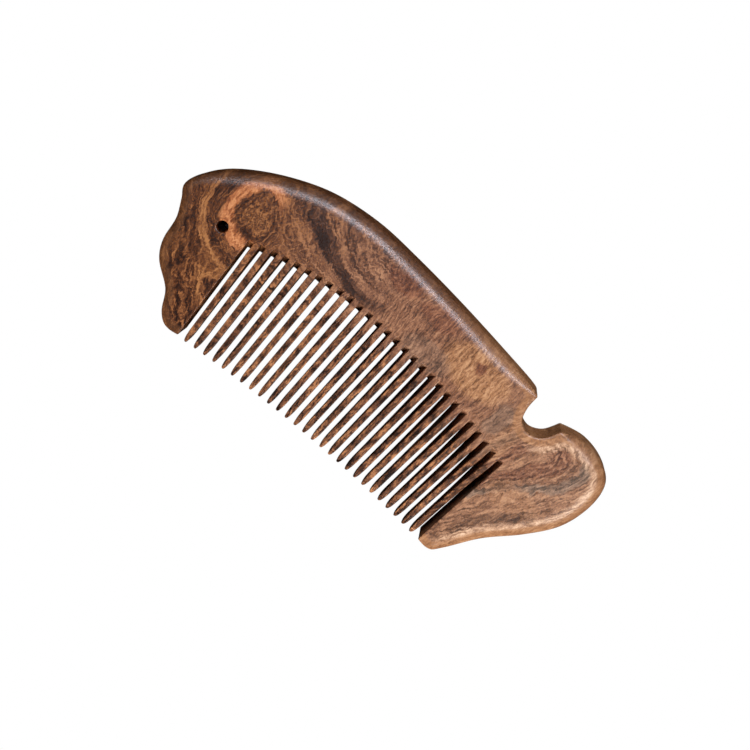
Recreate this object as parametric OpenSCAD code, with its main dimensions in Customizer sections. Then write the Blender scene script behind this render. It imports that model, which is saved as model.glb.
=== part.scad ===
// Fish-shaped pocket comb sawn from one board of hardwood.
// It lies flat with its back face at z = 0. +X runs from the head to the tail, +Y from the
// tooth tips to the spine, and the origin is at the centre of its footprint.

/* [Board] */
// Length from the head to the end of the tail
comb_length = 129.9; // [110:0.1:150]
// Width from the tooth tips to the top of the spine
comb_width = 56.5; // [50:0.1:62]
// Thickness of the head, the spine and the tail
board_t = 9; // [7:0.5:12]
// Width of the bevel that runs round the head, spine and tail
rim_w = 2.6; // [1:0.1:3.5]
// Height of that bevel on each face
rim_h = 1.3; // [0.6:0.1:2]

/* [Teeth] */
// Number of free teeth between the two solid ends
tooth_count = 27; // [11:2:27]
// Distance from tooth to tooth
tooth_pitch = 3.01; // [2.6:0.01:3.1]
// Width of the sawn slot between two teeth
slot_w = 1.4; // [0.8:0.05:1.6]
// How much further each slot runs on the front face than on the back face
kerf_run = 3.7; // [0.5:0.1:5]
// Thickness of a tooth at its tip
tip_t = 3; // [2:0.2:4]
// Length over which a tooth narrows to its rounded tip
tip_len = 4.5; // [3:0.5:8]
// Width of the bevel along the edges of a tooth
tooth_bevel = 0.35; // [0.1:0.05:0.4]

/* [Eye] */
// Diameter of the hole drilled through the head
eye_d = 3; // [2:0.5:4]
// Distance of the eye from the front of the head
eye_from_head = 14; // [11:0.1:16]

/* [Hidden] */
// Spacing of the sawn slots: they fan out from a point far below the tips.
fan_radius = 663;
fan_x = -1.6;
pitch_y = -10.6; // height at which tooth_pitch is measured
slot_step = tooth_pitch / (fan_radius + pitch_y) * 180 / PI;

// The slots end on one arc that is tighter towards the head than towards the tail.
root_apex = [-8.6, 6.9];
root_r_head = 92;
root_r_tail = 200;

// The tooth tips lie on a shallow hollow arc.
tips_apex = [7.5, -25.9];
tips_r = 400;

eye_y = 1.7;
edge_break = 0.4; // width of the bevel where the edge has no rim
least_drop = 0.2; // height of that bevel as a share of rim_h
mitre_limit = 0.6; // sharpest corner that the bevel follows, as the cosine of half its turn
curve_steps = 4;
through = 1; // how far a cut runs past each face of the board
size_x = comb_length / 129.9;
size_y = comb_width / 56.5;

// Outline of the board, anticlockwise: [x, y, width of the rim bevel as a share of rim_w].
tail_edge = [
    [36.5, -25.2, 0], [42.4, -25.9, 0.3], [45.3, -23.2, 0.6], [50.9, -14.5, 0.9], [58, -6.3, 1],
    [63.3, 2, 1], [65, 10.9, 1], [63.5, 17.8, 1], [58.8, 21.2, 1], [52, 22.3, 1], [45.7, 20.4, 0.1]
];
notch_edge = [
    [45.7, 20.4, 0.1], [43.6, 16.3, 0], [40.2, 14.5, 0], [36.9, 15.6, 0], [35.5, 18.8, 0], [35.3, 22, 0.1]
];
spine_edge = [
    [35.3, 22, 0.1], [34.2, 23.4, 0.3], [24, 24.9, 1], [6.5, 26.6, 1], [-10, 27.6, 1], [-23, 27.7, 1],
    [-36.1, 25.5, 1], [-47.7, 20.6, 1], [-57.3, 14.4, 1], [-62.8, 8.6, 0.7], [-64.9, 3.5, 0.4],
    [-63.1, -0.2, 0.4], [-61.1, -4.8, 0.4], [-60.2, -11.2, 0.4], [-57.6, -15.8, 0.4], [-52, -20.2, 0.4],
    [-49, -25.4, 0.4], [-45.4, -27.7, 0.3], [-39.5, -26.5, 0]
];

function tooth_name(i) = str("tooth_", i < 10 ? "0" : "", i);

function lerp(a, b, s) = a + (b - a) * s;

// Catmull-Rom curve through the points of an open list, without its last point.
function spline_point(p0, p1, p2, p3, s) =
    p1 + (p2 - p0) * s / 2
    + (2 * p0 - 5 * p1 + 4 * p2 - p3) * s * s / 2
    + (3 * p1 - p0 - 3 * p2 + p3) * s * s * s / 2;
function spline(pts) = let (last = len(pts) - 1) [
    for (i = [0:last - 1], j = [0:curve_steps - 1])
        spline_point(pts[max(i - 1, 0)], pts[i], pts[i + 1], pts[min(i + 2, last)], j / curve_steps)
];

function scaled(pts) = [for (p = pts) [p.x * size_x, p.y * size_y, p.z]];
outline = concat(
    spline(scaled(tail_edge)), spline(scaled(notch_edge)), spline(scaled(spine_edge)),
    [scaled(spine_edge)[len(spine_edge) - 1]]
);

// Inward direction of a closed outline at point i, lengthened at a corner so that an inset edge
// stays parallel to its neighbours.
function unit(v) = v / norm(v);
function inward(pts, i) =
    let (
        n = len(pts),
        a = unit([pts[i].x - pts[(i + n - 1) % n].x, pts[i].y - pts[(i + n - 1) % n].y]),
        b = unit([pts[(i + 1) % n].x - pts[i].x, pts[(i + 1) % n].y - pts[i].y]),
        m = unit([-a.y - b.y, a.x + b.x])
    ) m / max(mitre_limit, m * [-a.y, a.x]);

// Closed solid from rings with the same number of points, the first one lowest.
module lofted(rings) {
    n = len(rings[0]);
    last = len(rings) - 1;
    polyhedron(
        points = [for (ring = rings) each ring],
        faces = concat(
            [[for (i = [0:n - 1]) i]],
            [for (r = [0:last - 1], i = [0:n - 1]) each [
                [r * n + i, (r + 1) * n + i, (r + 1) * n + (i + 1) % n],
                [r * n + i, (r + 1) * n + (i + 1) % n, r * n + (i + 1) % n]
            ]],
            [[for (i = [n - 1:-1:0]) last * n + i]]
        ),
        convexity = 8
    );
}

// Waste wood that the rim bevel takes off the edge at z = 0: a three-sided tube round the outline.
// Its slope joins the face at the local bevel width to the wall at the local bevel height, and it
// runs on by a margin past both.
rim_margin = 0.25;
function rim_section(i) =
    let (
        p = outline[i],
        across = max(edge_break, p.z * rim_w),
        drop = rim_h * max(least_drop, across / rim_w),
        d = inward(outline, i) * across
    ) [
        for (q = [[1 + rim_margin, -rim_margin], [-rim_margin, 1 + rim_margin], [-rim_margin, -rim_margin]])
            [p.x + d.x * q.x, p.y + d.y * q.x, drop * q.y]
    ];
module rim_waste() {
    n = len(outline);
    polyhedron(
        points = [for (i = [0:n - 1]) each rim_section(i)],
        faces = [
            for (i = [0:n - 1], k = [0:2])
                let (j = (i + 1) % n, m = (k + 1) % 3) each [
                    [i * 3 + k, j * 3 + k, j * 3 + m],
                    [i * 3 + k, j * 3 + m, i * 3 + m]
                ]
        ],
        convexity = 8
    );
}

// Whole board before sawing, with its rim bevels.
module board() {
    difference() {
        linear_extrude(board_t) polygon([for (p = outline) [p.x, p.y]]);
        rim_waste();
        translate([0, 0, board_t]) mirror([0, 0, 1]) rim_waste();
    }
}

// Place on slot k at height y; side -1 is the slot's head side and +1 its tail side.
function slot_angle(k) = slot_step * (k - tooth_count / 2);
function slot_at(k, y, side) =
    [(fan_x + (y + fan_radius) * tan(slot_angle(k)) + side * slot_w / 2 / cos(slot_angle(k))) * size_x, y];

function arc_drop(dx, r) = r - sqrt(r * r - dx * dx);
function root_y(k) =
    let (dx = slot_at(k, root_apex.y, 0).x - root_apex.x)
        (root_apex.y - arc_drop(dx, dx < 0 ? root_r_head : root_r_tail)) * size_y;
function tip_y(i) =
    let (dx = slot_at(i - 0.5, tips_apex.y, 0).x - tips_apex.x)
        (tips_apex.y - arc_drop(dx, tips_r)) * size_y;

// Everything between the two solid ends below the slot ends.
module tooth_field() {
    below = -comb_width;
    translate([0, 0, -through])
        linear_extrude(board_t + 2 * through)
            polygon(concat(
                [slot_at(0, below, -1)],
                [for (k = [0:tooth_count], side = [-1, 1]) slot_at(k, root_y(k), side)],
                [slot_at(tooth_count, below, 1)]
            ));
}

// Sloping end that the round saw leaves in slot k: it cuts further on the front face than on the back.
module kerf_end(k) {
    past = 0.2; // reaches into the open slot and out of the front face
    spare = 0.04; // the slope is this much narrower than the slot, so that the two cuts share no face
    width = slot_w - spare;
    foot = 0.1; // share of the board below the start of the slope
    rise = board_t / kerf_run;
    translate([slot_at(k, root_y(k), 0).x, root_y(k), 0])
        rotate([0, 0, -slot_angle(k)])
            rotate([90, 0, 90])
                translate([0, 0, -width / 2])
                    linear_extrude(width)
                        polygon([
                            [-past, foot * board_t], [foot * kerf_run, foot * board_t],
                            [kerf_run + past, board_t + past * rise], [-past, board_t + past * rise]
                        ]);
}

module eye_bore() {
    translate([eye_from_head - comb_length / 2, eye_y, -through])
        cylinder(h = board_t + 2 * through, d = eye_d, $fn = 48);
}

// Head, spine and tail with the two solid ends that guard the teeth.
module comb_back() {
    color("saddlebrown")
        difference() {
            board();
            tooth_field();
            eye_bore();
            for (k = [0:tooth_count]) kerf_end(k);
        }
}

// Share of its full size that a tooth keeps at distance d from its tip, on a blunt rounded nose.
nose_power = 0.42;
function nose(d, length) = pow(1 - pow(1 - min(1, d / length), 2), nose_power);

// Section of tooth i at distance d from its tip: an octagon across the tooth. The faces are ground
// hollow, so the tooth thins quickly below the board and then slowly towards its tip.
hollow = 2.5;
function tooth_ring(i, d) =
    let (
        yt = tip_y(i),
        s = d / (root_y(i) - yt),
        a = slot_at(i - 1, lerp(yt, root_y(i - 1), s), 1),
        b = slot_at(i, lerp(yt, root_y(i), s), -1),
        n = nose(d, tip_len),
        t = lerp(tip_t, board_t, pow(s, hollow)) * nose(d, tip_len / 2),
        u = tooth_bevel / norm(b - a) * n,
        v = min(2 * tooth_bevel, t / 3) * n
    ) [
        for (p = [
            [-n / 2, -t / 2 + v], [u - n / 2, -t / 2], [n / 2 - u, -t / 2], [n / 2, -t / 2 + v],
            [n / 2, t / 2 - v], [n / 2 - u, t / 2], [u - n / 2, t / 2], [-n / 2, t / 2 - v]
        ]) let (q = lerp(a, b, 0.5 + p[0])) [q.x, q.y, board_t / 2 + p[1]]
    ];

// Tooth i, counted from the head.
shank_stations = [1, 0.87, 0.75, 0.6, 0.4]; // shares of the tooth's length
nose_stations = [1, 0.6, 0.3, 0.12, 0.03, 0.005]; // shares of tip_len
module tooth(i) {
    long = root_y(i) - tip_y(i);
    color(i % 2 == 0 ? "sienna" : "peru")
        lofted([for (d = concat(long * shank_stations, tip_len * nose_stations)) tooth_ring(i, d)]);
}

comb_back();
for (i = [1:tooth_count]) tooth(i);
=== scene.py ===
import math

import bmesh
import bpy
import numpy as np
from mathutils import Matrix, Vector


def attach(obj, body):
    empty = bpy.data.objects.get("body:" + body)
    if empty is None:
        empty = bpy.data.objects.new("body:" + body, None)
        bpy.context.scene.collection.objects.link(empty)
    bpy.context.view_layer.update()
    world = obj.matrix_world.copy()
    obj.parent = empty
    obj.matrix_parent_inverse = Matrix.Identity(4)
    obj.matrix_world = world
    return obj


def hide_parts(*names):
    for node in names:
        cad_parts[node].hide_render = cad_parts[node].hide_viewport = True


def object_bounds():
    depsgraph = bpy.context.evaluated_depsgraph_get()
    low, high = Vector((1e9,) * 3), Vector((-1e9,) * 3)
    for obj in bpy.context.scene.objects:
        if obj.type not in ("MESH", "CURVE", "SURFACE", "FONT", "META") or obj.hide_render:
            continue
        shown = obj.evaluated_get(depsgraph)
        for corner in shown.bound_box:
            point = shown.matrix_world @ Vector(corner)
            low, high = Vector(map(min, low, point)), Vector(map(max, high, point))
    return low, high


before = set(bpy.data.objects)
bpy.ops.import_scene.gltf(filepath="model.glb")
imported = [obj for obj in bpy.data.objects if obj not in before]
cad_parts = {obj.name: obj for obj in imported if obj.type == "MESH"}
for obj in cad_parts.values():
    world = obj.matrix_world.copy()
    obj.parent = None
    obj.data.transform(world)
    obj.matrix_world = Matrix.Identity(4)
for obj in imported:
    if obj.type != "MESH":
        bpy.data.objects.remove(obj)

MM = 0.001
CAD_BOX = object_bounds()
LENGTH, WIDTH, BOARD_T = ((high - low) / MM for low, high in zip(*CAD_BOX))
TEETH = sorted(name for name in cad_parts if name.startswith("tooth_"))
COUNT = len(TEETH)

# ---------------------------------------------------------------- design sizes, millimetres

RIM_W, RIM_H = 2.6, 1.3        # bevel round the head, spine and tail
EDGE_BREAK, LEAST_DROP = 0.4, 0.2  # bevel where there is no rim: width, and height as a share of RIM_H
PITCH, SLOT_W = 3.01, 1.4
KERF_RUN = 3.7                 # how much further a slot runs on the front than on the back
TIP_T, TIP_LEN = 3.0, 4.5
HOLLOW, NOSE_POWER = 2.5, 0.42
FAN_RADIUS, FAN_X, PITCH_Y = 663.0, -1.6, -10.6
SLOT_STEP = PITCH / (FAN_RADIUS + PITCH_Y)
ROOT_APEX, ROOT_R_HEAD, ROOT_R_TAIL = (-8.6, 6.9), 92.0, 200.0
TIPS_APEX, TIPS_R = (7.5, -25.9), 400.0
EYE_R = 1.5
EYE_X, EYE_Y = 14 - LENGTH / 2, 1.7
SOFT_RIM, SOFT_EDGE = 0.7, 0.3  # how far an edge is eased to either side
FIELD_BELOW = 5.3              # how far below the slot ends the tooth tips take over from the outline

# ---------------------------------------------------------------- light

# The sky's strength goes from SKY_LOW, just below the horizon, to SKY_HIGH overhead.
SKY_FROM, SKY_LOW, SKY_HIGH = -0.1, 0.001, 0.028
# Area lights: place and size in mm, watts, colour.
LIGHTS = {
    "key": ((110, -380, 400), (160, 200), 4.5, (1, 1, 1)),
    "fill": ((-60, 560, 170), (400, 160), 2.5, (1, 1, 1)),
    "side": ((420, -160, 480), (120, 120), 1.0, (1, 1, 1)),
    "strip": ((-30, 200, 560), (420, 70), 4.0, (0.9, 0.9, 1)),
}
GLOSS_ONLY = ["strip"]          # seen in the polish, and doesn't light the wood
NO_GLOSS = ["key", "fill"]      # light the wood, and aren't seen in the polish
FLOOR_HALF, FLOOR_Z = 3.0, -0.0005  # metres
EYE_SHADE, EYE_SHADE_Z = 0.02, -0.3  # grey of the painted shadow on the floor under the eye, and its height in mm

# ---------------------------------------------------------------- view

CAMERA_PLACE, CAMERA_AIM = (-21.45, 71.8, 300.3), (1.78, -0.6, 9)  # mm
PICTURE_TOP = 131.6             # heading of the picture's top, in degrees from +X towards +Y
LENS, SENSOR = 57.6, 36

# ---------------------------------------------------------------- outline

# Outline of the board, anticlockwise: [x, y, width of the rim bevel as a share of RIM_W].
TAIL_EDGE = [
    [36.5, -25.2, 0], [42.4, -25.9, 0.3], [45.3, -23.2, 0.6], [50.9, -14.5, 0.9], [58, -6.3, 1],
    [63.3, 2, 1], [65, 10.9, 1], [63.5, 17.8, 1], [58.8, 21.2, 1], [52, 22.3, 1], [45.7, 20.4, 0.1],
]
NOTCH_EDGE = [
    [45.7, 20.4, 0.1], [43.6, 16.3, 0], [40.2, 14.5, 0], [36.9, 15.6, 0], [35.5, 18.8, 0], [35.3, 22,
    0.1],
]
SPINE_EDGE = [
    [35.3, 22, 0.1], [34.2, 23.4, 0.3], [24, 24.9, 1], [6.5, 26.6, 1], [-10, 27.6, 1], [-23, 27.7, 1],
    [-36.1, 25.5, 1], [-47.7, 20.6, 1], [-57.3, 14.4, 1], [-62.8, 8.6, 0.7], [-64.9, 3.5, 0.4],
    [-63.1, -0.2, 0.4], [-61.1, -4.8, 0.4], [-60.2, -11.2, 0.4], [-57.6, -15.8, 0.4], [-52, -20.2, 0.4],
    [-49, -25.4, 0.4], [-45.4, -27.7, 0.3], [-39.5, -26.5, 0],
]
CURVE_STEPS = 8


# ---------------------------------------------------------------- the comb as a distance field

def spline(points):
    """Catmull-Rom curve through the points of an open list, without its last point."""
    p = np.array(points, float)
    last = len(p) - 1
    s = np.arange(CURVE_STEPS)[:, None] / CURVE_STEPS
    spans = []
    for i in range(last):
        p0, p1, p2, p3 = p[max(i - 1, 0)], p[i], p[i + 1], p[min(i + 2, last)]
        spans.append(
            p1 + (p2 - p0) * s / 2
            + (2 * p0 - 5 * p1 + 4 * p2 - p3) * s**2 / 2
            + (3 * p1 - p0 - 3 * p2 + p3) * s**3 / 2
        )
    return np.vstack(spans)


def signed_outline(x, y, outline):
    """Distance to the outline, negative inside it, and the rim share at the nearest point of it."""
    nearest = np.full(x.shape, np.inf)
    share = np.zeros(x.shape)
    inside = np.zeros(x.shape, bool)
    for a, b in zip(outline, np.roll(outline, -1, axis=0)):
        edge = b - a
        px, py = x - a[0], y - a[1]
        t = np.clip((px * edge[0] + py * edge[1]) / (edge[0] ** 2 + edge[1] ** 2), 0, 1)
        gap = (px - t * edge[0]) ** 2 + (py - t * edge[1]) ** 2
        closer = gap < nearest
        nearest = np.where(closer, gap, nearest)
        share = np.where(closer, a[2] + t * edge[2], share)
        if edge[1] != 0:
            inside ^= ((a[1] > y) != (b[1] > y)) & (x < a[0] + edge[0] * py / edge[1])
    return np.where(inside, -1, 1) * np.sqrt(nearest), share


class Outline:
    """The outline's distance and rim share, kept on a fine grid and read between its points."""

    STEP = 0.25
    MARGIN = 3.0
    LAST_CELL = 1.001  # keeps a place short of the last grid line, so that it has a cell

    def __init__(self):
        curve = np.vstack([spline(TAIL_EDGE), spline(NOTCH_EDGE), spline(SPINE_EDGE), SPINE_EDGE[-1:]])
        self.low = np.array([-LENGTH, -WIDTH]) / 2 - self.MARGIN
        count = np.ceil((np.array([LENGTH, WIDTH]) + 2 * self.MARGIN) / self.STEP).astype(int) + 1
        x = self.low[0] + self.STEP * np.arange(count[0])[:, None] + np.zeros((1, count[1]))
        y = self.low[1] + self.STEP * np.arange(count[1])[None, :] + np.zeros((count[0], 1))
        self.grids = signed_outline(x, y, curve)

    def __call__(self, x, y):
        u = np.clip((x - self.low[0]) / self.STEP, 0, self.grids[0].shape[0] - self.LAST_CELL)
        v = np.clip((y - self.low[1]) / self.STEP, 0, self.grids[0].shape[1] - self.LAST_CELL)
        i, j = u.astype(int), v.astype(int)
        u, v = u - i, v - j
        return [
            (g[i, j] * (1 - u) + g[i + 1, j] * u) * (1 - v)
            + (g[i, j + 1] * (1 - u) + g[i + 1, j + 1] * u) * v
            for g in self.grids
        ]


def slot_number(x, y):
    """Which slot a point lies at: whole numbers are slot middles, halves are tooth middles."""
    return np.arctan2(x - FAN_X, y + FAN_RADIUS) / SLOT_STEP + COUNT / 2


def slot_x(number, y):
    return FAN_X + (y + FAN_RADIUS) * np.tan(SLOT_STEP * (number - COUNT / 2))


def arc_drop(dx, radius):
    return radius - np.sqrt(radius**2 - dx**2)


def root_y(number):
    dx = slot_x(np.clip(number, -1, COUNT + 1), ROOT_APEX[1]) - ROOT_APEX[0]
    return ROOT_APEX[1] - arc_drop(dx, np.where(dx < 0, ROOT_R_HEAD, ROOT_R_TAIL))


def tip_y(number):
    return TIPS_APEX[1] - arc_drop(slot_x(number, TIPS_APEX[1]) - TIPS_APEX[0], TIPS_R)


def eased_max(a, b, ease):
    return np.maximum(a, b) + np.maximum(ease - np.abs(a - b), 0) ** 2 / (4 * ease)


def nose(d, length):
    """Share of its full size that a tooth keeps at distance d from its tip."""
    return (1 - (1 - np.clip(d / length, 0, 1)) ** 2) ** NOSE_POWER


def comb_distance(x, y, z, outline):
    """How far a point is outside the comb, negative inside it."""
    number = slot_number(x, y)
    slot = np.clip(np.round(number), 0, COUNT)
    tooth = np.clip(np.floor(number), 0, COUNT - 1) + 0.5
    among_teeth = (number > 0) & (number < COUNT)
    in_field = among_teeth & (y < root_y(number) - FIELD_BELOW)
    past_tip = y - tip_y(tooth)
    along = np.clip(past_tip / (root_y(tooth) - tip_y(tooth)), 0, 1)
    edge, share = outline(x, y)
    edge = np.where(in_field, -past_tip, edge)
    thick = np.where(
        among_teeth,
        (TIP_T + (BOARD_T - TIP_T) * along**HOLLOW) * nose(past_tip, TIP_LEN / 2),
        BOARD_T,
    )
    face = np.abs(z - BOARD_T / 2) - thick / 2

    # the board and its rim bevel
    across = np.where(in_field, EDGE_BREAK, np.maximum(EDGE_BREAK, share * RIM_W))
    drop = RIM_H * np.maximum(LEAST_DROP, across / RIM_W)
    bevel = (1 + edge / across + face / drop) * across * drop / np.hypot(across, drop)
    ease = SOFT_RIM * across / RIM_W
    board = eased_max(eased_max(edge, bevel, ease), face, ease)

    # the slots, with the slope that the round saw leaves at their ends
    narrowed = np.where(among_teeth, (PITCH - SLOT_W) / 2 * (1 - nose(past_tip, TIP_LEN)), 0)
    side = SLOT_W / 2 + narrowed - np.abs(number - slot) * SLOT_STEP * (y + FAN_RADIUS)
    slope = (z - (y - root_y(slot)) * BOARD_T / KERF_RUN) * KERF_RUN / math.hypot(KERF_RUN, BOARD_T)
    comb = eased_max(board, np.minimum(side, slope), SOFT_EDGE)
    return eased_max(comb, EYE_R - np.hypot(x - EYE_X, y - EYE_Y), SOFT_EDGE)


# ---------------------------------------------------------------- meshing

def to_xyz(place):
    """[slot number, height above the slot ends, z] to x, y and z."""
    number, above, z = place.T
    y = above + root_y(number)
    return np.stack([slot_x(number, y), y, z], axis=1)


def grid_lines():
    """Lines of the sampling grid: slot numbers, heights above the slot ends, and z."""
    per_pitch = np.array([0, 0.20, 0.26, 0.30, 0.35, 0.43, 0.57, 0.65, 0.70, 0.74, 0.80])
    ends = 0.13  # spacing in the head and tail, in slots
    numbers = np.concatenate([
        np.arange(-8.2, -0.34, ends), [-0.30, -0.26, -0.20],
        (np.arange(COUNT)[:, None] + per_pitch).ravel(),
        COUNT + np.array([0, 0.20, 0.26, 0.30]), np.arange(COUNT + 0.38, COUNT + 9.2, ends),
    ])
    heights = np.concatenate([
        np.arange(-36.5, -26, 0.25),   # tips of the long teeth
        np.arange(-26, -0.6, 0.5),     # teeth and guards
        np.arange(-0.45, 5, 0.3),      # slot ends
        np.arange(5.25, 28.5, 0.35),   # head, spine and tail
    ])
    layer = 0.3
    depths = np.arange(-layer / 2, BOARD_T + 0.4, layer)
    return numbers, heights, depths


def surface_net(lines, values):
    """One vertex in each grid cell that the surface passes through, and the quads that join them."""
    cells = tuple(len(line) - 1 for line in lines)
    total = np.zeros((np.prod(cells), 3))
    hits = np.zeros(np.prod(cells))
    crossings = []
    for axis in range(3):
        v = np.moveaxis(values, axis, 0)
        low, high = v[:-1], v[1:]
        where = np.argwhere((low < 0) != (high < 0))
        a, b = low[tuple(where.T)], high[tuple(where.T)]
        where = np.insert(where[:, 1:], axis, where[:, 0], axis=1)
        point = np.stack([lines[k][where[:, k]] for k in range(3)], axis=1)
        step = lines[axis][where[:, axis] + 1] - lines[axis][where[:, axis]]
        point[:, axis] += step * a / (a - b)
        one, two = [k for k in range(3) if k != axis]
        corners = []
        for back_one, back_two in ((1, 1), (0, 1), (0, 0), (1, 0)):
            cell = where.copy()
            cell[:, one] -= back_one
            cell[:, two] -= back_two
            flat = np.ravel_multi_index(cell.T, cells)
            corners.append(flat)
            hits += np.bincount(flat, minlength=len(hits))
            for k in range(3):
                total[:, k] += np.bincount(flat, point[:, k], len(hits))
        quads = np.stack(corners, axis=1)
        turn = (a < 0) == (axis != 1)
        crossings.append(np.where(turn[:, None], quads, quads[:, ::-1]))
    used = hits > 0
    index = np.cumsum(used) - 1
    return total[used] / hits[used][:, None], index[np.vstack(crossings)]


def gradient(points, outline):
    probe = 0.02
    slope = np.empty_like(points)
    for k in range(3):
        step = np.zeros(3)
        step[k] = probe
        ahead, behind = (points + step).T, (points - step).T
        slope[:, k] = (comb_distance(*ahead, outline) - comb_distance(*behind, outline)) / (2 * probe)
    return slope


def settled(points, outline):
    """The points drawn onto the surface, and the surface's normal at each."""
    rounds, least_size, longest_step = 4, 0.05, 0.12
    for _ in range(rounds):
        slope = gradient(points, outline)
        size = np.maximum((slope**2).sum(1), least_size)
        step = comb_distance(*points.T, outline)[:, None] * slope / size[:, None]
        points = points - np.clip(step, -longest_step, longest_step)
    slope = gradient(points, outline)
    return points, slope / np.maximum(np.linalg.norm(slope, axis=1), 1e-6)[:, None]


def smooth(value, start, end):
    s = np.clip((value - start) / (end - start), 0, 1)
    return s * s * (3 - 2 * s)


def marks(points, outline):
    """What the wood needs to know of a point: distance outside the outline, and share of a tooth."""
    x, y, _ = points.T
    number = slot_number(x, y)
    slot_ends, field_ends = (2, -4), (-0.3, 0.1)  # in mm above the slot ends, and in slots
    below = smooth(y - root_y(number), *slot_ends)
    between = smooth(np.minimum(number, COUNT - number), *field_ends)
    return {"rim": outline(x, y)[0], "teeth": below * between}


def comb_surface():
    outline = Outline()
    lines = grid_lines()
    number, above, z = np.meshgrid(*lines, indexing="ij", sparse=True)
    y = above + root_y(number)
    x = slot_x(number, y)
    values = comb_distance(x, y, z, outline)
    places, quads = surface_net(lines, values)
    points, normals = settled(to_xyz(places), outline)
    middle = places[quads].mean(1)
    in_tooth = (middle[:, 0] > 0) & (middle[:, 0] < COUNT) & (middle[:, 1] < 0)
    tooth = np.where(in_tooth, np.floor(middle[:, 0]), -1)
    return (points, normals, marks(points, outline)), quads, tooth.astype(int)


def clamped(points):
    """Kept inside the CAD box, which the smooth shape could pass by a hair."""
    low, high = (np.array(corner) / MM for corner in CAD_BOX)
    return np.clip(points, low, high)


def piece(name, node, surface, quads, material):
    """One closed piece of the comb that stands for a CAD node."""
    points, normals, marks = surface
    used, corner = np.unique(quads, return_inverse=True)
    mesh = bpy.data.meshes.new(name)
    mesh.from_pydata((clamped(points[used]) * MM).tolist(), [], corner.reshape(quads.shape).tolist())
    for mark, values in marks.items():
        mesh.attributes.new(mark, "FLOAT", "POINT").data.foreach_set("value", values[used])
    bm = bmesh.new()
    bm.from_mesh(mesh)
    bmesh.ops.holes_fill(bm, edges=[e for e in bm.edges if e.is_boundary], sides=0)
    bm.to_mesh(mesh)
    bm.free()
    mesh.shade_smooth()
    mesh.normals_split_custom_set_from_vertices(normals[used].tolist())
    mesh.materials.append(material)
    obj = bpy.data.objects.new(name, mesh)
    bpy.context.scene.collection.objects.link(obj)
    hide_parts(node)
    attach(obj, "root")


# ---------------------------------------------------------------- material

def srgb(red, green, blue):
    """A colour as seen on a screen, 0 to 255, as the linear colour that shaders take."""
    parts = [c / 255 for c in (red, green, blue)]
    return *(c / 12.92 if c <= 0.04045 else ((c + 0.055) / 1.055) ** 2.4 for c in parts), 1


class Nodes:
    """Short names for the shader nodes that the wood is made of."""

    def __init__(self, name):
        self.material = bpy.data.materials.new(name)
        self.material.use_nodes = True
        self.tree = self.material.node_tree
        self.shader = self.tree.nodes["Principled BSDF"]

    def node(self, kind, inputs=(), **settings):
        node = self.tree.nodes.new(kind)
        for key, value in settings.items():
            setattr(node, key, value)
        for key, value in dict(inputs).items():
            if isinstance(value, bpy.types.NodeSocket):
                self.tree.links.new(value, node.inputs[key])
            elif value is not None:
                node.inputs[key].default_value = value
        return node

    def math(self, operation, a, b=None):
        return self.node("ShaderNodeMath", {0: a, 1: b}, operation=operation).outputs[0]

    def add(self, a, b):
        return self.math("ADD", a, b)

    def times(self, a, b):
        return self.math("MULTIPLY", a, b)

    def vector(self, operation, a, b=None):
        node = self.node("ShaderNodeVectorMath", {0: a, 1: b}, operation=operation)
        return node.outputs["Value" if operation in ("LENGTH", "DOT_PRODUCT") else "Vector"]

    def split(self, where):
        return self.node("ShaderNodeSeparateXYZ", {0: where}).outputs

    def joined(self, x, y, z):
        return self.node("ShaderNodeCombineXYZ", {0: x, 1: y, 2: z}).outputs[0]

    def attribute(self, name):
        return self.node("ShaderNodeAttribute", attribute_name=name).outputs["Fac"]

    def noise(self, where, scale=(1, 1, 1), detail=3.0, rough=0.55):
        where = self.vector("MULTIPLY", where, scale)
        inputs = {"Vector": where, "Scale": 1.0, "Detail": detail, "Roughness": rough}
        return self.node("ShaderNodeTexNoise", inputs)

    def swing(self, where, scale, detail, reach):
        """Random shift of a place, up to about reach in mm."""
        shift = self.vector("SUBTRACT", self.noise(where, scale, detail).outputs["Color"], (0.5, 0.5, 0.5))
        return self.vector("MULTIPLY", shift, reach)

    def ramp(self, value, stops):
        node = self.node("ShaderNodeValToRGB", {"Fac": value})
        elements = node.color_ramp.elements
        for at, _ in stops[2:]:
            elements.new(at)
        for element, (at, color) in zip(elements, stops):
            element.position = at
            element.color = color
        return node.outputs["Color"]

    def fade(self, value, start, end):
        """0 before start and 1 past end, smoothly."""
        inputs = {"Value": value, "From Min": start, "From Max": end, "To Min": 0.0, "To Max": 1.0}
        return self.node("ShaderNodeMapRange", inputs, interpolation_type="SMOOTHSTEP").outputs["Result"]

    def band(self, value, start, end, soft):
        """1 between start and end, with soft edges."""
        past_start = self.fade(value, start - soft, start + soft)
        before_end = self.fade(value, end + soft, end - soft)
        return self.times(past_start, before_end)

    def mix(self, factor, a, b):
        node = self.node("ShaderNodeMix", data_type="RGBA")
        for socket, value in zip(("Factor_Float", "A_Color", "B_Color"), (factor, a, b)):
            self.tree.links.new(value, next(s for s in node.inputs if s.identifier == socket))
        return next(s for s in node.outputs if s.identifier == "Result_Color")

    def blend(self, factor, a, b):
        return self.node("ShaderNodeMix", {0: factor, 2: a, 3: b}, data_type="FLOAT").outputs[0]


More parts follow.
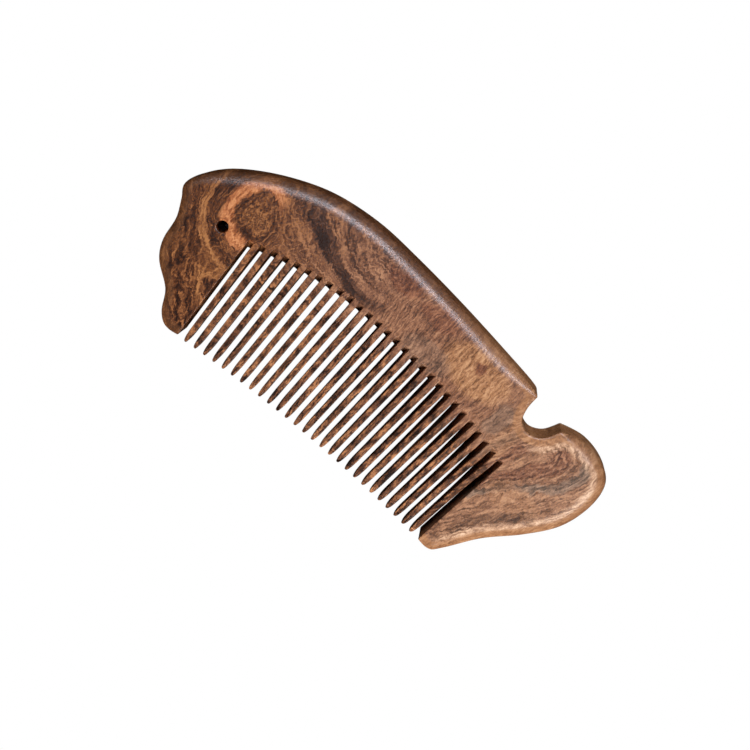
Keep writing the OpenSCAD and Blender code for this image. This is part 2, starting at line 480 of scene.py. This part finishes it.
# The wood's colours, each from its dark lines through its body to its light lines.
WOODS = {
    "head": ((36, 19, 12), (90, 52, 31), (146, 94, 56)),
    "body": ((62, 39, 29), (126, 84, 62), (172, 126, 95)),
    "tail": ((78, 52, 38), (134, 94, 70), (176, 132, 101)),
    "teeth": ((26, 15, 11), (104, 66, 46), (180, 122, 80)),
    "orange": ((112, 60, 34), (176, 106, 64), (208, 142, 96)),
    "golden": ((72, 42, 24), (124, 76, 44), (172, 118, 72)),
    "dusk": ((36, 22, 17), (76, 48, 36), (118, 82, 62)),
    "rust": ((62, 31, 22), (110, 65, 46), (158, 104, 76)),
    "gold": ((96, 58, 34), (160, 112, 76), (198, 152, 112)),
    "tan": ((96, 64, 44), (148, 104, 75), (184, 140, 106)),
    "red": ((56, 28, 20), (110, 66, 48), (158, 110, 82)),
    "grey": ((72, 58, 48), (124, 100, 84), (158, 130, 110)),
    "streak": ((50, 33, 25), (98, 68, 51), (144, 106, 80)),
    # painted sheen: pale colours that stand in for the light caught on the tail's bevel
    "painted_sheen": ((140, 102, 76), (192, 150, 119), (226, 192, 162)),
    "rim": ((56, 33, 20), (96, 61, 38), (130, 88, 58)),
}

# How light each ring of a figure is, from 0 to 1, at distances in mm from the figure's centre.
HEAD_RINGS = [
    (0, 0.44), (2.4, 0.4), (3.0, 0.6), (3.6, 0.42), (5.4, 0.4), (6.6, 0.6), (8.2, 0.5), (9.2, 0.4),
    (11.8, 0.36), (12.6, 0.82), (13.1, 0.52), (14.4, 0.46), (16.4, 0.28), (17.2, 0.56), (18.2, 0.2),
    (19.6, 0.5), (20.8, 0.26), (22, 0.6), (23.4, 0.4), (26, 0.55),
]
SPINE_BOWS = [
    (0, 0.45), (3, 0.36), (6, 0.52), (8, 0.42), (9.2, 0.28), (10.2, 0.7), (11.2, 0.48), (12.4, 0.28),
    (13.8, 0.3), (14.8, 0.48), (15.8, 0.42), (16.5, 0.82), (17.1, 0.45), (18.4, 0.55), (19.4, 0.4),
    (20.4, 0.58), (22, 0.45),
]
TAIL_BOWS = [
    (0, 0.5), (1, 0.62), (1.8, 0.36), (2.6, 0.62), (3.4, 0.3), (4.2, 0.62), (5, 0.34), (5.8, 0.58),
    (6.6, 0.44), (8.4, 0.4), (9.6, 0.5), (10.8, 0.6), (12, 0.48), (14, 0.55), (15.2, 0.42), (17, 0.55),
    (19, 0.45),
]

# Patches of another colour: bands of a figure's rings, then ovals by centre and half size in mm.
BANDS = [
    ("head", 5.4, 8.2, "orange", 0.85),
    ("head", 12.4, 14.2, "golden", 0.8),
    ("bow", 11.8, 14.4, "dusk", 0.75),
    ("tail", 1.6, 5.4, "red", 0.6),
    ("tail", 7.6, 10.2, "grey", 0.8),
]
OVALS = [
    ((-58.5, -12), (4, 6), "golden", 0.5),
    ((-46, 9), (3.4, 3.4), "golden", 0.5),
    ((-8, 22.6), (6, 2.6), "rust", 0.7),
    ((5, 21.6), (6, 2.8), "rust", 0.6),
    ((20, 17), (9.5, 5.5), "gold", 0.85),
    ((19.6, 18.6), (1.6, 1.4), "rust", 0.9),
    ((37, 8.5), (2.6, 7), "tan", 0.7),
    ((51, -2), (9, 4.5), "tan", 0.6),
    ((32.5, 12), (2.6, 5), "grey", 0.5),
    ((8, 12), (7, 3.5), "grey", 0.35),
]


# Each figure's centre in mm, the heading of its axis, and how far it is stretched along and across it.
FIGURES = {
    "head": ((-46, 9.5), math.pi, (1, 1.2)),
    "bow": ((-12, 25), -math.pi / 2, (1, 1.9)),
    "tail": ((46.5, 11.8), math.radians(60), (1.5, 1)),
}
MEAN_RING = 10                  # radius in mm at which length along the rings is true
SNOUT_ALONG, SNOUT_ACROSS, SNOUT_START = (0.57, -0.82, 0), (-0.82, -0.57, 0), 32.3

# Random swings of the figure's place: features per mm, detail and reach in mm.
SWINGS = {
    "slow": ((0.075, 0.075, 0.075), 2, (5, 5, 0)),
    "quick": ((0.5, 0.5, 0.3), 3, (1.3, 1.3, 0)),
    "feather": ((1.3, 0.2, 0.3), 2, (0.3, 3, 0)),
}
# Random tones: features per mm, detail and roughness.
DRIFT = (0.13, 0.13, 0.13), 1
HAZE = (0.13, 0.13, 0.13), 3
MOTTLE = (0.55, 0.3, 0.4), 3, 0.6
FLECK = (2.6, 1.5, 1.8), 4, 0.7
LINE_ACROSS, LINE_ALONG, LINE_DEEP = 1.9, 0.3, 0.8  # features per mm of the thin lines

# Stretches in mm over which something comes in: where it starts, and where it is complete.
SPANS = {
    "snout": (13.5, 18), "arms": (1.5, -1.5), "behind_head": (-42, -35), "middle": (-28, -14),
    "tail": (31, 37), "veins": (-56, -50), "no_veins": (-34, -24), "body_color": (-50, -8),
    "tail_color": (20, 45), "head_bands": (-41, -46), "bow_bands": (-44, -38), "bow_bands_end": (-6, -12),
    "tail_edge": (40, 46), "tail_foot": (2, -4), "rim": (-2.7, -2.0), "gold_rim": (0, 30),
}
TAIL_SLANT, MIDDLE_SLANT = 0.1, -0.6  # how far the borders of those two stretches lean
# How strongly the lines and the random tones move the wood's tone.
TONES = {"line": 2.0, "haze": 0.4, "fleck": 1.3, "mottle": 0.2, "mottle_in_teeth": 1.3}
PLAIN, PLAIN_TOOTH = 0.5, 0.42  # tone where no figure shows
# How strongly each part shows, from 0 to 1.
SHARES = {"middle": 0.85, "veins": 0.28, "teeth": 0.9, "streak": 0.8, "painted_sheen": 0.85, "rim": 0.75}
STREAK, PAINTED_SHEEN = (3.8, 6.4, 1), (1.6, 3.8, 0.8)  # start, end and softness, in mm in from the tail's edge; the second is the pale band of painted sheen on the tail's bevel


def ring_tones(nodes, distance, rings):
    reach = rings[-1][0]
    stops = [(at / reach, (tone, tone, tone, 1)) for at, tone in rings]
    return nodes.ramp(nodes.math("DIVIDE", distance, reach), stops)


def wood_color(nodes, tone, kind):
    stops = [(at, srgb(*color)) for at, color in zip((0.15, 0.5, 0.85), WOODS[kind])]
    return nodes.ramp(tone, stops)


def laid_on(nodes, color, mask, tone, kind):
    """The colour with another of the woods over it, where the mask says."""
    return nodes.mix(mask, color, wood_color(nodes, tone, kind))


def spanned(nodes, value, span):
    return nodes.fade(value, *SPANS[span])


def figure_rings(nodes, where, figure):
    """Distance from a figure's centre, length along its rings, and place along and across its axis."""
    centre, turn, stretch = FIGURES[figure]
    away = nodes.vector("SUBTRACT", where, (*centre, 0))
    c, s = math.cos(turn), math.sin(turn)
    u = nodes.math("DIVIDE", nodes.vector("DOT_PRODUCT", away, (c, s, 0)), stretch[0])
    v = nodes.math("DIVIDE", nodes.vector("DOT_PRODUCT", away, (-s, c, 0)), stretch[1])
    distance = nodes.math("SQRT", nodes.add(nodes.times(u, u), nodes.times(v, v)))
    along = nodes.times(nodes.math("ARCTAN2", v, u), MEAN_RING)
    return distance, along, u, v


def thin_lines(nodes, distance, along, z):
    """Thin lines that run with a figure."""
    across, along = nodes.times(distance, LINE_ACROSS), nodes.times(along, LINE_ALONG)
    place = nodes.joined(across, along, nodes.times(z, LINE_DEEP))
    return nodes.noise(place, detail=4, rough=0.62).outputs["Fac"]


def wandering(nodes, mm):
    """The place that the figure is read at: it wanders, trembles, and is feathered along the teeth."""
    slow, quick, feather = (nodes.swing(mm, *SWINGS[name]) for name in ("slow", "quick", "feather"))
    return nodes.vector("ADD", nodes.vector("ADD", mm, slow), nodes.vector("ADD", quick, feather))


def head_figure(nodes, bent, z):
    """Rings round the head, which straighten towards the snout, and their lines."""
    ring, along, _, _ = figure_rings(nodes, bent, "head")
    snout = nodes.vector("DOT_PRODUCT", bent, SNOUT_ACROSS)
    snout_along = nodes.vector("DOT_PRODUCT", bent, SNOUT_ALONG)
    near_snout = spanned(nodes, ring, "snout")
    ring = nodes.blend(near_snout, ring, nodes.math("SUBTRACT", snout, SNOUT_START))
    snout_lines = thin_lines(nodes, snout, snout_along, z)
    return ring, nodes.blend(near_snout, thin_lines(nodes, ring, along, z), snout_lines)


def spine_figure(nodes, bent, z):
    """Bows below the spine, and their lines."""
    bow, along, _, _ = figure_rings(nodes, bent, "bow")
    return bow, thin_lines(nodes, bow, along, z)


def tail_figure(nodes, bent, z):
    """Nested bows in the tail that draw together towards the teeth, and their lines."""
    drawing, arm_stretch = 0.07, 1.5
    loop, along, u, v = figure_rings(nodes, bent, "tail")
    drawn = nodes.add(1, nodes.times(nodes.math("MAXIMUM", nodes.times(u, -1), 0), drawing))
    arms = nodes.times(nodes.math("ABSOLUTE", v), drawn)
    in_arms = spanned(nodes, u, "arms")
    loop = nodes.blend(in_arms, loop, arms)
    arm_lines = thin_lines(nodes, v, nodes.times(u, arm_stretch), z)
    return loop, nodes.blend(in_arms, thin_lines(nodes, loop, along, z), arm_lines)


def veins(nodes, bent, x):
    """Pale veins that wander between the rings of the head and the first bows."""
    drift = nodes.noise(bent, *DRIFT).outputs["Fac"]
    turns, reach, thin = 9, 0.5, (0.36, 0.48)
    vein = nodes.math("PINGPONG", nodes.times(drift, turns), reach)
    before_bows = nodes.math("SUBTRACT", 1, spanned(nodes, x, "no_veins"))
    veined = nodes.times(nodes.fade(vein, *thin), before_bows)
    return nodes.times(nodes.times(veined, spanned(nodes, x, "veins")), SHARES["veins"])


def whole_figure(nodes, mm, bent):
    """Thin lines and broad tones of the whole comb, its three figures, and the mask of the tail."""
    x, y, z = nodes.split(mm)
    bent_x, bent_y, _ = nodes.split(bent)
    ring, head_lines = head_figure(nodes, bent, z)
    bow, bow_lines = spine_figure(nodes, bent, z)
    loop, tail_lines = tail_figure(nodes, bent, z)
    behind_head = spanned(nodes, bent_x, "behind_head")
    in_tail = spanned(nodes, nodes.add(x, nodes.times(y, TAIL_SLANT)), "tail")
    slanted = nodes.add(bent_x, nodes.times(bent_y, MIDDLE_SLANT))
    middle = nodes.times(spanned(nodes, slanted, "middle"), SHARES["middle"])

    line = nodes.blend(behind_head, head_lines, bow_lines)
    line = nodes.blend(middle, line, thin_lines(nodes, bent_x, bent_y, z))
    line = nodes.blend(in_tail, line, tail_lines)
    broad = nodes.blend(behind_head, ring_tones(nodes, ring, HEAD_RINGS), ring_tones(nodes, bow, SPINE_BOWS))
    broad = nodes.blend(middle, broad, PLAIN)
    broad = nodes.blend(in_tail, broad, ring_tones(nodes, loop, TAIL_BOWS))
    broad = nodes.add(broad, veins(nodes, bent, x))
    return line, broad, {"head": ring, "bow": bow, "tail": loop}, in_tail


def wood_tone(nodes, mm, teeth, line, broad, fleck):
    """How light the wood is. The teeth are cut across the figure, which shows in them as mottles."""
    mottle = nodes.noise(mm, *MOTTLE).outputs["Fac"]
    haze = nodes.noise(mm, *HAZE).outputs["Fac"]
    tone = nodes.blend(teeth, broad, PLAIN_TOOTH)
    mottled = nodes.add(nodes.times(teeth, TONES["mottle_in_teeth"]), TONES["mottle"])
    sources = ((line, TONES["line"]), (haze, TONES["haze"]), (fleck, TONES["fleck"]), (mottle, mottled))
    for source, strength in sources:
        tone = nodes.add(tone, nodes.times(nodes.math("SUBTRACT", source, PLAIN), strength))
    return tone


def patched(nodes, color, tone, bent, x, figures, in_tail, back):
    """The bands of the figures and the ovals, which leave the teeth alone."""
    band_soft, oval_edge = 0.5, (1.2, 0.75)
    in_bows = nodes.times(spanned(nodes, x, "bow_bands"), spanned(nodes, x, "bow_bands_end"))
    inside = {"head": spanned(nodes, x, "head_bands"), "bow": in_bows, "tail": in_tail}
    for figure, start, end, kind, strength in BANDS:
        mask = nodes.times(nodes.band(figures[figure], start, end, band_soft), inside[figure])
        color = laid_on(nodes, color, nodes.times(nodes.times(mask, back), strength), tone, kind)
    for centre, half, kind, strength in OVALS:
        away = nodes.vector("DIVIDE", nodes.vector("SUBTRACT", bent, (*centre, 0)), (*half, 1))
        reach = nodes.vector("LENGTH", nodes.vector("MULTIPLY", away, (1, 1, 0)))
        mask = nodes.times(nodes.fade(reach, *oval_edge), back)
        color = laid_on(nodes, color, nodes.times(mask, strength), tone, kind)
    return color


def edged(nodes, color, tone, line, x, y, back):
    """Dark streaks and a pale band of painted sheen along the tail's edge, and a plain dark rim on the spine
    and head.
    """
    rim = nodes.attribute("rim")
    waviness, calmness = 1.5, 0.5
    wander = nodes.times(nodes.math("SUBTRACT", line, PLAIN), waviness)
    depth = nodes.times(nodes.add(rim, wander), -1)
    on_tail = spanned(nodes, x, "tail_edge")
    low = nodes.times(spanned(nodes, y, "tail_foot"), on_tail)
    streak = nodes.times(nodes.band(depth, *STREAK), nodes.times(low, SHARES["streak"]))
    color = laid_on(nodes, color, streak, tone, "streak")
    # painted sheen: a pale band along the tail's bevel stands in for the light it catches
    painted_sheen = nodes.times(nodes.band(depth, *PAINTED_SHEEN), nodes.times(on_tail, SHARES["painted_sheen"]))
    color = laid_on(nodes, color, painted_sheen, tone, "painted_sheen")
    calm = nodes.blend(calmness, tone, PLAIN)
    rim_color = laid_on(nodes, wood_color(nodes, calm, "rim"), spanned(nodes, x, "gold_rim"), calm, "gold")
    on_rim = nodes.times(nodes.times(spanned(nodes, rim, "rim"), back), SHARES["rim"])
    return nodes.mix(on_rim, color, rim_color)


def polished(nodes, color, line, fleck):
    """The wood's colour, satin gloss and fine grain on its shader."""
    nodes.tree.links.new(color, nodes.shader.inputs["Base Color"])
    gloss_range = {"Value": fleck, "From Min": 0.35, "From Max": 0.65, "To Min": 0.36, "To Max": 0.24}
    gloss = nodes.node("ShaderNodeMapRange", gloss_range)
    nodes.tree.links.new(gloss.outputs["Result"], nodes.shader.inputs["Roughness"])
    line_share = 0.6
    grain = nodes.add(fleck, nodes.times(line, line_share))
    bump = nodes.node("ShaderNodeBump", {"Height": grain, "Strength": 0.3, "Distance": 0.0002})
    nodes.tree.links.new(bump.outputs["Normal"], nodes.shader.inputs["Normal"])
    nodes.shader.inputs["Specular IOR Level"].default_value = 0.4


def wood(name):
    """Figured hardwood: rings round the head, bows below the spine and in the tail, and mottled teeth."""
    nodes = Nodes(name)
    mm = nodes.vector("MULTIPLY", nodes.node("ShaderNodeTexCoord").outputs["Object"], (1 / MM,) * 3)
    x, y, _ = nodes.split(mm)
    bent = wandering(nodes, mm)
    bent_x = nodes.split(bent)[0]
    line, broad, figures, in_tail = whole_figure(nodes, mm, bent)
    teeth = nodes.attribute("teeth")
    back = nodes.math("SUBTRACT", 1, teeth)
    fleck = nodes.noise(mm, *FLECK).outputs["Fac"]
    tone = wood_tone(nodes, mm, teeth, line, broad, fleck)

    # from the dark head to the pale tail, with the patches, the teeth and the edges on top
    color = wood_color(nodes, tone, "head")
    color = laid_on(nodes, color, spanned(nodes, bent_x, "body_color"), tone, "body")
    color = laid_on(nodes, color, spanned(nodes, bent_x, "tail_color"), tone, "tail")
    color = patched(nodes, color, tone, bent, x, figures, in_tail, back)
    color = laid_on(nodes, color, nodes.times(teeth, SHARES["teeth"]), tone, "teeth")
    color = edged(nodes, color, tone, line, x, y, back)
    polished(nodes, color, line, fleck)
    return nodes.material


# ---------------------------------------------------------------- stage

def floor():
    mesh = bpy.data.meshes.new("floor")
    bm = bmesh.new()
    corners = ((-1, -1), (1, -1), (1, 1), (-1, 1))
    bm.faces.new([bm.verts.new((sx * FLOOR_HALF, sy * FLOOR_HALF, FLOOR_Z)) for sx, sy in corners])
    bm.to_mesh(mesh)
    bm.free()
    nodes = Nodes("lit_floor")
    glow = nodes.node("ShaderNodeEmission", {"Color": (1, 1, 1, 1), "Strength": 1.0})
    nodes.tree.links.new(glow.outputs[0], nodes.tree.nodes["Material Output"].inputs["Surface"])
    mesh.materials.append(nodes.material)
    obj = bpy.data.objects.new("floor", mesh)
    obj.visible_diffuse = False
    obj.visible_glossy = False
    obj.visible_shadow = False
    bpy.context.scene.collection.objects.link(obj)


def eye_shadow():
    """A dark round on the floor under the eye: painted shadow, standing in for the shade of the comb seen
    through the eye.
    """
    mesh = bpy.data.meshes.new("eye_shadow")
    bm = bmesh.new()
    bmesh.ops.create_circle(bm, cap_ends=True, segments=32, radius=2 * EYE_R * MM)
    bm.to_mesh(mesh)
    bm.free()
    nodes = Nodes("shaded_floor")
    nodes.shader.inputs["Base Color"].default_value = (EYE_SHADE, EYE_SHADE, EYE_SHADE, 1)
    mesh.materials.append(nodes.material)
    obj = bpy.data.objects.new("eye_shadow", mesh)
    obj.location = Vector((EYE_X, EYE_Y, EYE_SHADE_Z)) * MM
    bpy.context.scene.collection.objects.link(obj)


def softbox(name, place, size, watts, color):
    """An area light at a place in millimetres, turned towards the comb."""
    light = bpy.data.lights.new(name, "AREA")
    light.shape = "RECTANGLE"
    light.size, light.size_y = (side * MM for side in size)
    light.energy = watts
    light.color = color
    obj = bpy.data.objects.new(name, light)
    obj.location = Vector(place) * MM
    obj.rotation_euler = (-Vector(place)).to_track_quat("-Z", "Y").to_euler()
    obj.visible_diffuse = name not in GLOSS_ONLY
    obj.visible_glossy = name not in NO_GLOSS
    bpy.context.scene.collection.objects.link(obj)


def sky():
    """Soft light from overhead that fades to the horizon. The camera sees it as plain white."""
    world = bpy.data.worlds.new("studio")
    world.use_nodes = True
    tree = world.node_tree
    background = tree.nodes["Background"]
    background.inputs["Color"].default_value = (1, 1, 1, 1)
    where = tree.nodes.new("ShaderNodeTexCoord")
    split = tree.nodes.new("ShaderNodeSeparateXYZ")
    height = tree.nodes.new("ShaderNodeMapRange")
    height.inputs["From Min"].default_value = SKY_FROM
    height.inputs["To Min"].default_value = SKY_LOW
    height.inputs["To Max"].default_value = SKY_HIGH
    path = tree.nodes.new("ShaderNodeLightPath")
    seen = tree.nodes.new("ShaderNodeMath")
    seen.operation = "MAXIMUM"
    tree.links.new(where.outputs["Generated"], split.inputs[0])
    tree.links.new(split.outputs["Z"], height.inputs["Value"])
    tree.links.new(height.outputs["Result"], seen.inputs[0])
    tree.links.new(path.outputs["Is Camera Ray"], seen.inputs[1])
    tree.links.new(seen.outputs[0], background.inputs["Strength"])
    bpy.context.scene.world = world
    world.cycles_visibility.glossy = False


def lighting():
    sky()
    for name, (place, size, watts, color) in LIGHTS.items():
        softbox(name, place, size, watts, color)
    bpy.context.scene.view_settings.view_transform = "Standard"


def camera():
    """Seen from above the spine side, a little off square, as a product shot."""
    data = bpy.data.cameras.new("camera")
    data.lens, data.sensor_width = LENS, SENSOR
    place, heading = Vector(CAMERA_PLACE), math.radians(PICTURE_TOP)
    forward = (Vector(CAMERA_AIM) - place).normalized()
    right = forward.cross(Vector((math.cos(heading), math.sin(heading), 0))).normalized()
    up = right.cross(forward)
    obj = bpy.data.objects.new("camera", data)
    turn = Matrix((right, up, -forward)).transposed()
    obj.matrix_world = Matrix.Translation(place * MM) @ turn.to_4x4()
    bpy.context.scene.collection.objects.link(obj)
    bpy.context.scene.camera = obj


# ---------------------------------------------------------------- build

surface, quads, tooth = comb_surface()
back_wood, tooth_wood = wood("back_wood"), wood("tooth_wood")
piece("carved_back", "comb_back", surface, quads[tooth < 0], back_wood)
for i, node in enumerate(TEETH):
    piece(f"carved_{node}", node, surface, quads[tooth == i], tooth_wood)
floor()
eye_shadow()
lighting()
camera()
